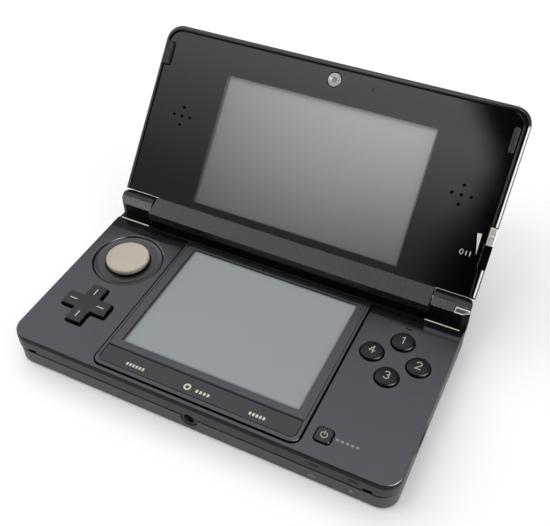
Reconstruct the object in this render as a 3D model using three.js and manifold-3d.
// Handheld game with two screens: a base with a touch screen and a hinged lid with a wide screen.
// Millimetres, +Z up, +X to the player's right, +Y towards the hinge, so the front is -Y.
// Origin: centre of the flat underside. The lid stands open at its everyday angle.
import * as THREE from 'three';
import { mergeVertices } from 'three/addons/utils/BufferGeometryUtils.js';
import Module from 'manifold-3d';

const wasm = await Module();
wasm.setup();

// ================================================================ driving dimensions
// A rectangle is [x0, y0, x1, y1]; a place is [x, y] unless noted.
const GAP = 0.3;                // clearance between a fitted piece and its opening
const PAST_X = 68;              // cutters through a side wall end here
const PAST_Y = 38;              // cutters through the front or rear wall end here

const HALF_W = 66.9;            // half width of the device
const HALF_D = 37.0;            // half depth of the base
const CORNER_R = 6.0;           // plan corner radius
const SEAM_LO = 6.95;           // top of the lower case
const SEAM_HI = 7.25;           // bottom of the upper case
const DECK_Z = 13.0;            // top of the control deck
const DECK_UNDER = 11.8;        // underside of the control deck
const TRAY_TOP = 13.45;         // rim round the lower screen, a little proud of the deck

const HINGE = [32.92, 16.76];   // hinge axis, [y, z]
const OPEN_TILT = 49.08;        // lid plane above the horizontal, degrees
const BARREL_X = 53.5;          // half length of the lid's hinge barrel
const EAR_X = 53.9;             // inner face of the hinge ears
const EAR_TOP = 20.7;

const LID_TOP = 67.07;          // lid's free edge, from the hinge axis
const LID_BOT = 4.21;           // lid's lower end face, from the hinge axis
const LID_BACK = -4.1;          // lid's outer face
const LID_FACE = 1.73;          // glossy inner panel
const LID_RIM = 2.5;            // rim round the panel

// ================================================================ materials
// [colour, roughness, metalness]
const FINISHES = {
  deck: [0x3a393b, 0.42, 0.25],
  lower: [0x242326, 0.5, 0.15],
  gloss: [0x0b0b0d, 0.08, 0.0],
  rim: [0x1b1b1e, 0.25, 0.2],
  barrel: [0x2b2a2d, 0.6, 0.1],
  button: [0x17171a, 0.22, 0.0],
  cap: [0xb9b0a2, 0.55, 0.0],
  lowerScreen: [0x93a0a0, 0.2, 0.0],
  upperScreen: [0x8d8b88, 0.2, 0.0],
  board: [0x1f5a3c, 0.6, 0.1],
  metal: [0xb8b8bb, 0.3, 0.9],
  gold: [0xc9a34a, 0.3, 0.9],
  rubber: [0x141416, 0.8, 0.0],
  silicone: [0x6f7174, 0.8, 0.0],
  battery: [0x34363a, 0.5, 0.1],
  silver: [0xcfd0d2, 0.25, 0.6],
  lamp: [0xe8e4d4, 0.2, 0.0],
  lens: [0x101418, 0.05, 0.0],
  white: [0xd8d8d6, 0.4, 0.0],
  film: [0x121214, 0.15, 0.0],
};
function material(finish) {
  const [color, roughness, metalness] = FINISHES[finish];
  return new THREE.MeshStandardMaterial({ color, roughness, metalness });
}

// ================================================================ solids
function solid(geometry) {
  const bare = geometry.index ? geometry.toNonIndexed() : geometry.clone();
  bare.deleteAttribute('normal');
  bare.deleteAttribute('uv');
  const merged = mergeVertices(bare, 1e-4);
  const triVerts = new Uint32Array(merged.index.array);
  const vertProperties = new Float32Array(merged.attributes.position.array);
  const build = () => new wasm.Manifold(new wasm.Mesh({ numProp: 3, vertProperties, triVerts }));
  const result = build();
  if (result.volume() >= 0) return result;
  // inside out: turn every triangle over
  for (let i = 0; i < triVerts.length; i += 3) {
    [triVerts[i], triVerts[i + 1]] = [triVerts[i + 1], triVerts[i]];
  }
  return build();
}
function surface(piece) {
  const mesh = piece.getMesh();
  const geometry = new THREE.BufferGeometry();
  const positions = new Float32Array(mesh.vertProperties);
  geometry.setAttribute('position', new THREE.BufferAttribute(positions, 3));
  geometry.setIndex(new THREE.BufferAttribute(new Uint32Array(mesh.triVerts), 1));
  geometry.computeVertexNormals();
  return geometry;
}
const join = (...pieces) => pieces.reduce((sum, piece) => sum.add(piece));
const cut = (body, ...tools) => tools.reduce((rest, tool) => rest.subtract(tool), body);

const grown = ([x0, y0, x1, y1], by) => [x0 - by, y0 - by, x1 + by, y1 + by];
const centred = (x, y, halfX, halfY = halfX) => [x - halfX, y - halfY, x + halfX, y + halfY];

const polygon = (points) => new THREE.Shape(points.map(([x, y]) => new THREE.Vector2(x, y)));
// radius is one value or [front-left, front-right, back-right, back-left]
function roundRect([x0, y0, x1, y1], radius) {
  const [a, b, c, d] = Array.isArray(radius) ? radius : [radius, radius, radius, radius];
  const s = new THREE.Shape();
  s.moveTo(x0 + a, y0);
  s.lineTo(x1 - b, y0);
  if (b > 0) s.absarc(x1 - b, y0 + b, b, -Math.PI / 2, 0, false);
  s.lineTo(x1, y1 - c);
  if (c > 0) s.absarc(x1 - c, y1 - c, c, 0, Math.PI / 2, false);
  s.lineTo(x0 + d, y1);
  if (d > 0) s.absarc(x0 + d, y1 - d, d, Math.PI / 2, Math.PI, false);
  s.lineTo(x0, y0 + a);
  if (a > 0) s.absarc(x0 + a, y0 + a, a, Math.PI, 1.5 * Math.PI, false);
  return s;
}
// the case's plan, drawn in by inset
const outline = (inset) => (
  roundRect(centred(0, 0, HALF_W - inset, HALF_D - inset), CORNER_R - inset)
);

function slab(shape, z0, z1, curveSegments = 4) {
  const options = { depth: z1 - z0, bevelEnabled: false, curveSegments };
  return solid(new THREE.ExtrudeGeometry(shape, options).translate(0, 0, z0));
}
// a slab whose top and bottom edges are rounded by radius
function softSlab(shape, z0, z1, radius, bevelSegments = 3, curveSegments = 4) {
  const geometry = new THREE.ExtrudeGeometry(shape, {
    depth: z1 - z0 - 2 * radius,
    bevelEnabled: true,
    bevelThickness: radius,
    bevelSize: radius,
    bevelOffset: -radius,
    bevelSegments,
    curveSegments,
  });
  return solid(geometry.translate(0, 0, z0 + radius));
}
function box(x0, x1, y0, y1, z0, z1) {
  const geometry = new THREE.BoxGeometry(x1 - x0, y1 - y0, z1 - z0);
  return solid(geometry.translate((x0 + x1) / 2, (y0 + y1) / 2, (z0 + z1) / 2));
}
const plate = ([x0, y0, x1, y1], z0, z1) => box(x0, x1, y0, y1, z0, z1);
// everything between two heights
const layer = (z0, z1) => box(-80, 80, -80, 80, z0, z1);
// a box on the right (side 1), or its mirror image on the left (side -1)
const sideBox = (side, inner, outer, ...rest) => (
  side > 0 ? box(inner, outer, ...rest) : box(-outer, -inner, ...rest)
);
const cylinder = (radius, length, sides) => (
  new THREE.CylinderGeometry(radius, radius, length, sides)
);
function rodX(radius, x0, x1, y, z, sides = 24) {
  const geometry = cylinder(radius, x1 - x0, sides).rotateZ(Math.PI / 2);
  return solid(geometry.translate((x0 + x1) / 2, y, z));
}
function rodY(radius, y0, y1, x, z, sides = 24) {
  return solid(cylinder(radius, y1 - y0, sides).translate(x, (y0 + y1) / 2, z));
}
function rodZ(radius, z0, z1, x, y, sides = 24) {
  const geometry = cylinder(radius, z1 - z0, sides).rotateX(Math.PI / 2);
  return solid(geometry.translate(x, y, (z0 + z1) / 2));
}
// a profile of [radius, z] points turned about the upright axis at x, y
function turned(profile, x, y, sides = 32) {
  const points = profile.map(([radius, z]) => new THREE.Vector2(radius, z));
  return solid(new THREE.LatheGeometry(points, sides).rotateX(Math.PI / 2).translate(x, y, 0));
}
// a polygon of [y, z] points swept along X
function alongX(points, x0, x1) {
  const options = { depth: x1 - x0, bevelEnabled: false };
  const geometry = new THREE.ExtrudeGeometry(polygon(points), options);
  // shape x -> Y, shape y -> Z, depth -> X
  const turn = new THREE.Matrix4().set(0, 0, 1, x0, 1, 0, 0, 0, 0, 1, 0, 0, 0, 0, 0, 1);
  return solid(geometry.applyMatrix4(turn));
}

const device = new THREE.Group();
const base = new THREE.Group();
const lid = new THREE.Group();
lid.position.set(0, ...HINGE);
lid.rotation.x = THREE.MathUtils.degToRad(OPEN_TILT);
device.add(base, lid);

function put(group, name, piece, finish) {
  const mesh = new THREE.Mesh(surface(piece), material(finish));
  mesh.name = name;
  group.add(mesh);
}

// ================================================================ base: places and fits
const PAD = [-50.4, 8.5];                    // sliding pad centre
const CROSS = [-50.5, -16.0];                // cross pad centre
const CROSS_SPAN = 8.45;                     // centre to arm end
const CROSS_ARM = 2.9;                       // half width of an arm
const CROSS_GAP = 0.45;
const DIAMOND = [50.4, 6.55];                // centre of the four face buttons
const DIAMOND_R = 7.67;
const BUTTON_R = 3.75;
const POWER = [41.4, -28.7];
const POWER_HALF = 2.5;
const POWER_CORNER = 1.1;

const TRAY = [-35.5, -35.05, 35.5, 26.2];
const TRAY_CORNERS = [3.0, 3.0, 1.7, 1.7];
const LOWER_WIN = [-31.35, -24.1, 31.35, 22.9];
const TOUCH_PANEL = [-33, -25.5, 33, 24.3];
const MENU_FILM = [-34, -33.4, 34, -27.2];
const MENU_Y = -30.5;
const MENU_KEYS = { menu_key_left: -21.5, menu_key_middle: 0, menu_key_right: 21.5 };

const BATTERY = [17.5, -29.5, 57.5, 25.5];
const BATTERY_COVER = centred(0, 0, 58, 30);
const COVER_CORNER = 4;
const SCREWS = { battery_screw_left: [-50, 24], battery_screw_right: [50, 26.7] };
const SCREW_HOLE_R = 1.15;

const JACK = [0, 5.4];                       // headphone jack axis, [x, z]
const STYLUS = [-38, 4.6];                   // stylus axis, [x, z]
const CARD_X = [-20.5, 14.5];                // sides of the card slot
const CONNECTOR_X = [25, 32.5];
const INFRARED_X = [-31, -23];
const PORT_Z = [3.2, 6.3];                   // power connector and infrared window
const MEMORY_Y = [-6, 20];                   // front and back of the memory card slot

const [diamondX, diamondY] = DIAMOND;
const FACE_BUTTONS = {
  button_top: [diamondX, diamondY + DIAMOND_R],
  button_right: [diamondX + DIAMOND_R, diamondY],
  button_bottom: [diamondX, diamondY - DIAMOND_R],
  button_left: [diamondX - DIAMOND_R, diamondY],
};
// a span widened by margin at both ends
const widened = ([from, to], margin) => [from - margin, to + margin];

// ================================================================ base: cases
// pocket for a shoulder button at a rear corner
const shoulderPocket = (side) => sideBox(side, 44.2, PAST_X, 26.6, PAST_Y, 3.6, 10.3);
const jackHole = rodY(3.0, -PAST_Y, -33, ...JACK);
const portHole = (spanX) => box(...widened(spanX, GAP), 34, PAST_Y, ...widened(PORT_Z, GAP));

function lowerCase() {
  const shell = softSlab(outline(0.3), 0, 16, 1.2, 3, 5).intersect(layer(-1, SEAM_LO));
  const inside = slab(outline(1.8), 2.3, 9);
  const coverRecess = slab(roundRect(grown(BATTERY_COVER, GAP), COVER_CORNER + GAP), -1, 1.4);
  const batteryBay = plate(grown(BATTERY, GAP), 1, 3);
  const cardMouth = box(...widened(CARD_X, 0.4), 34, PAST_Y, 2.45, 8);    // open to the seam
  const stylusHole = rodY(2.45, 34, PAST_Y, ...STYLUS);
  const memoryMouth = box(-PAST_X, -64, -6.35, 20.4, 2.6, 6.6);
  const screwHoles = Object.values(SCREWS).map((at) => rodZ(SCREW_HOLE_R, 1, 3, ...at, 12));
  return cut(shell, inside, coverRecess, batteryBay, cardMouth, portHole(CONNECTOR_X),
    portHole(INFRARED_X), stylusHole, memoryMouth, ...screwHoles,
    shoulderPocket(1), shoulderPocket(-1), jackHole);
}
put(base, 'lower_case', lowerCase(), 'lower');

function batteryCover() {
  const holes = Object.values(SCREWS).flatMap((at) => [
    rodZ(2.2, -1, 0.75, ...at, 16),          // countersunk seat
    rodZ(SCREW_HOLE_R, -1, 2, ...at, 12),
  ]);
  return cut(slab(roundRect(BATTERY_COVER, COVER_CORNER), 0, 1.1), ...holes);
}
put(base, 'battery_cover', batteryCover(), 'lower');

// a screw, head down, with a cross slot
function screw(x, y) {
  const head = rodZ(1.85, 0.1, 0.45, x, y, 16);
  const shank = rodZ(0.8, 0.3, 3.6, x, y, 12);
  return cut(join(head, shank),
    plate(centred(x, y, 1.2, 0.2), 0, 0.25), plate(centred(x, y, 0.2, 1.2), 0, 0.25));
}
for (const [name, at] of Object.entries(SCREWS)) put(base, name, screw(...at), 'metal');
put(base, 'battery_pack', softSlab(roundRect(BATTERY, 1.5), 1.5, 6.2, 0.5, 1, 2), 'battery');

// the ear's side profile, [y, z]: a faceted front and a round back,
// within 4.1 of the hinge axis so that the lid's end face passes it
const EAR_PROFILE = [
  [29.3, 10.3], [36.97, 10.3], [36.97, 17.2], [36.55, 18.6], [35.9, 19.5], [35.05, 20.2],
  [34.1, 20.6], [33.1, EAR_TOP], [32.6, EAR_TOP], [31.4, 20.0], [29.3, 17.9],
];
// limits of the ears in plan, [x, y], cut obliquely at the front outer corners
const EAR_LIMITS = [
  [-HALF_W, 30.8], [-64.7, 29.3], [-64.7, 24], [64.7, 24], [64.7, 29.3], [HALF_W, 30.8],
  [HALF_W, 40], [-HALF_W, 40],
];
// rounded in plan at the rear like the case
const earPlan = slab(outline(0), 9, 22, 5).intersect(slab(polygon(EAR_LIMITS), 9, 22, 2));
const ear = (x0, x1) => alongX(EAR_PROFILE, x0, x1).intersect(earPlan);
// the room the lid's barrel turns in, [y, z]
const WELL_PROFILE = [[28.9, 10.9], [38, 10.9], [38, 22], [27.9, 22], [27.9, 12.0]];

// the cross pad's outline: outer corners eased by radius, inside corners sharp
function crossShape(span, arm, radius) {
  const corners = [
    [arm, span], [arm, arm], [span, arm], [span, -arm], [arm, -arm], [arm, -span],
    [-arm, -span], [-arm, -arm], [-span, -arm], [-span, arm], [-arm, arm], [-arm, span],
  ].map(([x, y]) => new THREE.Vector2(x + CROSS[0], y + CROSS[1]));
  const shape = new THREE.Shape();
  corners.forEach((corner, i) => {
    if (i % 3 === 1) {                       // an inside corner
      shape.lineTo(corner.x, corner.y);
      return;
    }
    const towards = (other) => corner.clone().lerp(other, radius / corner.distanceTo(other));
    const start = towards(corners[(i + 11) % 12]);
    const end = towards(corners[(i + 1) % 12]);
    if (i === 0) shape.moveTo(start.x, start.y);
    else shape.lineTo(start.x, start.y);
    shape.quadraticCurveTo(corner.x, corner.y, end.x, end.y);
  });
  shape.closePath();
  return shape;
}

function deckOpenings() {
  const trayCorners = TRAY_CORNERS.map((radius) => radius + GAP);
  const cross = crossShape(CROSS_SPAN + CROSS_GAP, CROSS_ARM + CROSS_GAP, 1.1);
  const power = roundRect(centred(...POWER, POWER_HALF + GAP), POWER_CORNER + GAP);
  return [
    slab(roundRect(grown(TRAY, GAP), trayCorners), 10, 14),
    rodZ(12.15, 11, 14, ...PAD, 36),
    slab(cross, 11, 14, 2),
    slab(power, 11, 14, 3),
    ...Object.values(FACE_BUTTONS).map((at) => rodZ(BUTTON_R + GAP, 11, 14, ...at)),
  ];
}
function upperCase() {
  const shell = softSlab(outline(0), 3.0, DECK_Z, 0.8, 2, 5).intersect(layer(SEAM_HI, 14));
  const well = alongX(WELL_PROFILE, -EAR_X, EAR_X);
  const rearStep = box(-PAST_X, PAST_X, 26.9, PAST_Y, 12.0, 14);
  const body = join(cut(shell, well, rearStep), ear(EAR_X, HALF_W), ear(-HALF_W, -EAR_X));
  // the inside is lower under the hinge
  const inside = slab(roundRect([-65.2, -35.3, 65.2, 26.0], [4.3, 4.3, 0.5, 0.5]), 6, DECK_UNDER);
  const insideRear = slab(roundRect([-65.2, 20, 65.2, 35.2], [0.5, 0.5, 4.2, 4.2]), 6, 9.6);
  const volumeSlot = sideBox(-1, 64.5, PAST_X, -30, -16.2, 8.3, 10.7);
  const wirelessSlot = sideBox(1, 64.5, PAST_X, -21, -9.8, 8.3, 10.7);
  const lampPocket = box(61.6, 67.5, 28, 31.0, 17.55, 22);
  const mirrored = [-1, 1].flatMap((side) => [
    shoulderPocket(side),
    sideBox(side, 56.9, 59.9, -PAST_Y, -35.9, 7, 8.1),       // opening notch in the front seam
  ]);
  const pinBores = [rodX(2.5, -60.5, -53, ...HINGE), rodX(2.5, 53, 60.5, ...HINGE)];
  return cut(body, inside, insideRear, ...mirrored, ...deckOpenings(), volumeSlot, wirelessSlot,
    jackHole, ...pinBores, lampPocket);
}
put(base, 'upper_case', upperCase(), 'deck');

// fills the front outer corner of the right ear, kept clear all round
const lamp = ear(61.9, HALF_W).intersect(box(61.9, 67.5, 28, 30.7, 17.85, 22));
put(base, 'notification_lamp', lamp, 'lamp');

put(base, 'hinge_pin_left', rodX(2.2, -60.2, -42, ...HINGE), 'metal');
put(base, 'hinge_pin_right', rodX(2.2, 42, 60.2, ...HINGE), 'metal');

// ================================================================ base: screen
function screenTray() {
  const body = softSlab(roundRect(TRAY, TRAY_CORNERS), 9.5, TRAY_TOP, 0.35, 1, 4);
  const filmCorners = [2.0, 2.0, 0.5, 0.5];
  const keyHoles = Object.values(MENU_KEYS).map((x) => (
    slab(roundRect(centred(x, MENU_Y, 5.7, 2.5), 1.0), 10, 14, 2)
  ));
  return cut(body.intersect(layer(11.0, 14)),
    slab(roundRect(LOWER_WIN, 0.4), 10, 14, 2),
    plate(grown(TOUCH_PANEL, GAP), 10, 12.85),
    slab(roundRect(grown(MENU_FILM, GAP), filmCorners), 12.75, 14, 3),
    ...keyHoles);
}
put(base, 'screen_tray', screenTray(), 'gloss');
put(base, 'touch_panel', slab(roundRect(TOUCH_PANEL, 0.4), 11.3, 12.55, 2), 'lowerScreen');
put(base, 'lower_lcd', box(-33.5, 33.5, -25.5, 25, 8.9, 10.9), 'metal');
const menuFilm = slab(roundRect(MENU_FILM, [1.7, 1.7, 0.3, 0.3]), 13.05, 13.4, 3);
put(base, 'menu_film', menuFilm, 'film');
for (const [name, x] of Object.entries(MENU_KEYS)) {
  const key = slab(roundRect(centred(x, MENU_Y, 5.35, 2.15), 0.7), 10.6, 12.7, 2);
  put(base, name, key, 'rubber');
}

// ================================================================ base: electronics
function mainBoard() {
  const jackNotch = box(-3.5, 3.5, -36, -23, 6, 8.5);
  const cardNotch = box(...widened(CARD_X, 1), 0.2, 27, 6, 8.5);
  return cut(slab(roundRect([-64, -34.4, 64, 26], 3), 6.8, 7.8, 3), jackNotch, cardNotch);
}
put(base, 'main_board', mainBoard(), 'board');

const jack = cut(rodY(2.65, -36.3, -23.6, ...JACK), rodY(1.87, -37, -25, ...JACK, 20));
put(base, 'headphone_jack', jack, 'gold');

const cardSlot = cut(
  box(...CARD_X, 0.8, 36.4, 2.6, 7.1),
  box(...widened(CARD_X, -0.6), 1.5, PAST_Y, 2.95, 6.8),
);
put(base, 'card_slot', cardSlot, 'metal');

const connector = cut(
  box(...CONNECTOR_X, 28, 36.4, ...PORT_Z),
  box(...widened(CONNECTOR_X, -0.8), 30, PAST_Y, 3.9, 5.6),
);
put(base, 'power_connector', connector, 'rubber');
put(base, 'infrared_window', box(...INFRARED_X, 35.0, 36.5, ...PORT_Z), 'gloss');

const memorySlot = cut(
  box(-64.4, -42.6, ...MEMORY_Y, 2.7, 6.3),
  box(-66, -44, ...widened(MEMORY_Y, -0.9), 3.4, 5.6),
);
put(base, 'memory_card_slot', memorySlot, 'metal');
put(base, 'memory_card_flap', box(-66.55, -65.3, ...MEMORY_Y, 2.9, 6.3), 'rubber');

// ================================================================ base: controls
// sliding pad: fixed ring, fixed module, carriage (left-right), skirt and cap (front-back)
const PAD_RING = [
  [7.9, 11.3], [11.85, 11.3], [11.85, 13.0], [11.6, 13.05], [11.3, 12.1], [7.9, 11.7], [7.9, 11.3],
];
const PAD_SKIRT = [
  [0, 10.4], [12.3, 10.4], [12.3, 10.75], [4.3, 10.95], [3.9, 11.3], [3.8, 12.7], [0, 12.7],
];
const PAD_CAP = [
  [0, 13.0], [4.4, 13.0], [4.4, 12.4], [7.2, 12.4], [7.55, 12.7],
  [7.55, 13.9], [7.1, 14.35], [6.2, 14.5], [4.8, 14.2], [0, 13.95],
];
put(base, 'circle_pad_ring', turned(PAD_RING, ...PAD, 36), 'button');
put(base, 'circle_pad_module', plate(centred(...PAD, 12), 8.1, 9.3), 'rubber');
const carriage = slab(roundRect(centred(...PAD, 9), 2), 9.6, 10.1, 2);
put(base, 'circle_pad_carriage', carriage, 'white');
put(base, 'circle_pad_skirt', turned(PAD_SKIRT, ...PAD), 'button');
put(base, 'circle_pad_cap', turned(PAD_CAP, ...PAD), 'cap');

// cross pad on its rocker seat
function crossPad() {
  const cross = softSlab(crossShape(CROSS_SPAN, CROSS_ARM, 0.7), 8, 14.3, 0.45, 2, 2);
  const flange = rodZ(9.2, 10.3, 10.9, ...CROSS, 28);
  return join(cross.intersect(layer(10.6, 15)), flange);
}
put(base, 'cross_pad_seat', rodZ(2.2, 9.6, 10.0, ...CROSS, 16), 'rubber');
put(base, 'cross_pad', crossPad(), 'button');
put(base, 'cross_pad_membrane', rodZ(9.5, 8.3, 9.2, ...CROSS, 20), 'silicone');

const BUTTON_PROFILE = [
  [0, 10.2], [4.7, 10.2], [4.7, 10.9], [BUTTON_R, 10.9], [BUTTON_R, 13.6],
  [3.45, 14.0], [2.6, 14.2], [0, 14.27],
];
for (const [name, at] of Object.entries(FACE_BUTTONS)) {
  put(base, name, turned(BUTTON_PROFILE, ...at, 24), 'button');
}
const membrane = slab(roundRect([37.5, -6.3, 63.3, 19.4], 5), 8.1, 8.8, 3);
put(base, 'button_membrane', membrane, 'silicone');

function powerButton() {
  const shape = roundRect(centred(...POWER, POWER_HALF), POWER_CORNER);
  const key = softSlab(shape, 9, 13.5, 0.35, 2, 3).intersect(layer(10.6, 15));
  return join(key, slab(roundRect(centred(...POWER, 3.5), 1.3), 10.4, 11.0, 2));
}
put(base, 'power_button', powerButton(), 'button');

// a tab through the side wall on a flange inside it; each span is [front y, back y]
function sideSwitch(side, tabY, flangeY) {
  const tab = sideBox(side, 64.4, 67.25, ...tabY, 8.65, 10.35);
  return join(tab, sideBox(side, 64.3, 65.0, ...flangeY, 8.0, 11.0));
}
put(base, 'volume_slider', sideSwitch(-1, [-25.9, -20.3], [-27.2, -19.0]), 'button');
put(base, 'wireless_switch', sideSwitch(1, [-18.1, -12.7], [-19.2, -11.6]), 'button');

// curved round the rear corners
function shoulderButton(side) {
  const block = sideBox(side, 45, PAST_X, 28.2, PAST_Y, 3.9, 10.0);
  const hollow = sideBox(side, 44, 63.4, 27, 33.6, 3, 11);
  // starts 0.001 low so that its underside and the block's do not coincide
  const body = softSlab(outline(0.3), 3.9 - 0.001, 10.0, 0.6, 1, 4);
  return cut(body.intersect(block), hollow);
}
put(base, 'shoulder_button_left', shoulderButton(-1), 'button');
put(base, 'shoulder_button_right', shoulderButton(1), 'button');

// stylus: the tip rod draws out of the case and the grip draws out over the rod
const stylusRod = join(
  rodY(1.05, -29, 30, ...STYLUS, 12),
  rodY(1.6, -32, -29.5, ...STYLUS, 12),
  rodY(1.3, -29.5, -28.5, ...STYLUS, 12),
);
put(base, 'stylus_rod', stylusRod, 'rubber');
const gripTube = cut(rodY(2.0, -27.5, 34.5, ...STYLUS, 20), rodY(1.4, -29, 33, ...STYLUS, 16));
put(base, 'stylus_grip', join(gripTube, rodY(2.15, 34, 37.4, ...STYLUS, 20)), 'button');

// ================================================================ lid
// In its own frame: X, Y up from the hinge axis, Z towards the player.
const UPPER_WIN = [-39.2, 6.77, 39.2, 53.87];
const UPPER_LCD = [-42, 6.3, 42, 56];
const PANEL_LEFT = -65.3;
const PANEL_RIGHT = 64.3;
const PANEL_TOP = 65.0;
const PANEL_CORNERS = [4.4, 4.7];            // top right, top left
const INNER_CAMERA = [-0.2, 61.2];
const OUTER_CAMERAS = { outer_camera_left: [-17.5, 59.5], outer_camera_right: [17.5, 59.5] };
const SPEAKERS = { speaker_left: [-52.5, 35.4], speaker_right: [52.5, 35.4] };
const BUMPERS = {
  bumper_left: [-65.2, 52.15, -63.3, 60.4],
  bumper_right: [62.2, 52.15, 64.1, 60.4],
};

function lidCover() {
  const plan = [-66.6, 4.5, 66.6, 66.8];
  const corner = 5.7;
  const wall = 1.4;
  const shell = softSlab(roundRect(plan, corner), LID_BACK, 6, 1.5, 3, 5);
  return cut(shell.intersect(layer(-5, -0.6)),
    slab(roundRect(grown(plan, -wall), corner - wall), -2.9, 1),
    ...Object.values(OUTER_CAMERAS).map((at) => rodZ(3.2, -5, -2, ...at)));
}
put(lid, 'lid_cover', lidCover(), 'rim');

function lidFrame() {
  const plan = [-HALF_W, LID_BOT, HALF_W, LID_TOP];
  const body = slab(roundRect(plan, [0.5, 0.5, CORNER_R, CORNER_R]), -0.3, LID_RIM - 0.5, 6);
  // the rounded rim, square at the hinge end
  const longPlan = [-HALF_W, LID_BOT - 2, HALF_W, LID_TOP];
  const rim = softSlab(roundRect(longPlan, CORNER_R), -3, LID_RIM, 0.5, 1, 6)
    .intersect(box(-70, 70, LID_BOT, 70, 1.2, 3));
  const panelSeat = roundRect(
    [PANEL_LEFT - GAP, 0, PANEL_RIGHT + GAP, PANEL_TOP + GAP],
    [0, 0, ...PANEL_CORNERS.map((radius) => radius + GAP)],
  );
  return cut(join(body, rim),
    slab(roundRect([-62, 5.6, 61, 62], 2), -1, 3, 2),
    slab(panelSeat, 0.4, 3, 6),
    box(64.3, PAST_X, 14.1, 28.4, 0.2, 4),   // depth slider slot
    rodZ(1.6, -1, 2, ...INNER_CAMERA, 16));
}
put(lid, 'lid_frame', lidFrame(), 'rim');

// five small holes in a cross over a speaker
function speakerHoles([x, y]) {
  const pitch = 3.2;
  const steps = [[0, 0], [pitch, 0], [-pitch, 0], [0, pitch], [0, -pitch]];
  return steps.map(([dx, dy]) => rodZ(0.6, 0, 3, x + dx, y + dy, 10));
}
function lidPanel() {
  const plan = [PANEL_LEFT, 4.4, PANEL_RIGHT, PANEL_TOP];
  return cut(slab(roundRect(plan, [0.6, 0.6, ...PANEL_CORNERS]), 0.7, LID_FACE, 6),
    slab(roundRect(UPPER_WIN, 0.3), 0, 3, 1),
    rodZ(2.7, 0, 3, ...INNER_CAMERA),
    ...Object.values(BUMPERS).map((bumper) => plate(grown(bumper, GAP), 0, 3)),
    ...Object.values(SPEAKERS).flatMap(speakerHoles));
}
put(lid, 'lid_panel', lidPanel(), 'gloss');

const upperWindow = slab(roundRect(grown(UPPER_WIN, -GAP), 0.2), 0.9, 1.65, 1);
put(lid, 'upper_window', upperWindow, 'upperScreen');
put(lid, 'upper_lcd', plate(UPPER_LCD, -0.9, 0.4), 'metal');
put(lid, 'barrier_screen', plate(UPPER_LCD, -1.8, -1.2), 'lens');

const CAMERA_RING = [[1.5, 0.9], [2.4, 0.9], [2.4, 1.8], [2.1, 2.0], [1.5, 1.7], [1.5, 0.9]];
put(lid, 'camera_ring', turned(CAMERA_RING, ...INNER_CAMERA, 24), 'silver');
const innerCamera = join(
  rodZ(1.2, -0.8, 1.5, ...INNER_CAMERA, 16),
  plate(centred(...INNER_CAMERA, 3), -2.3, -0.7),
);
put(lid, 'inner_camera', innerCamera, 'lens');
const OUTER_LENS = [[0, -2.3], [2.9, -2.3], [2.9, -4.0], [2.2, -4.0], [1.6, -3.6], [0, -3.6]];
for (const [name, at] of Object.entries(OUTER_CAMERAS)) {
  put(lid, name, turned(OUTER_LENS, ...at, 24), 'lens');
}

for (const [name, at] of Object.entries(SPEAKERS)) {
  put(lid, name, slab(roundRect(centred(...at, 6), 2), -2.3, 0.3, 3), 'rubber');
}
for (const [name, plan] of Object.entries(BUMPERS)) {
  put(lid, name, slab(roundRect(plan, 0.6), 0.75, 3.4, 2), 'rubber');
}
const depthSlider = join(
  box(64.65, 67.1, 22.1, 28.1, 0.6, 2.7),
  box(64.9, 67.1, 24.8, 25.4, 2.6, 3.0),     // raised rib
);
put(lid, 'depth_slider', depthSlider, 'silver');

// [y, z] about the hinge axis
const BARREL_PROFILE = [
  [4.0, 1.55], [-2.05, 5.1], [-4.15, 3.55], [-4.2, -0.6], [-0.8, LID_BACK], [4.0, LID_BACK],
];
const barrel = cut(alongX(BARREL_PROFILE, -BARREL_X, BARREL_X),
  rodX(2.3, -54, -41.5, 0, 0), rodX(2.3, 41.5, 54, 0, 0));
put(lid, 'hinge_barrel', barrel, 'barrel');

export default device;
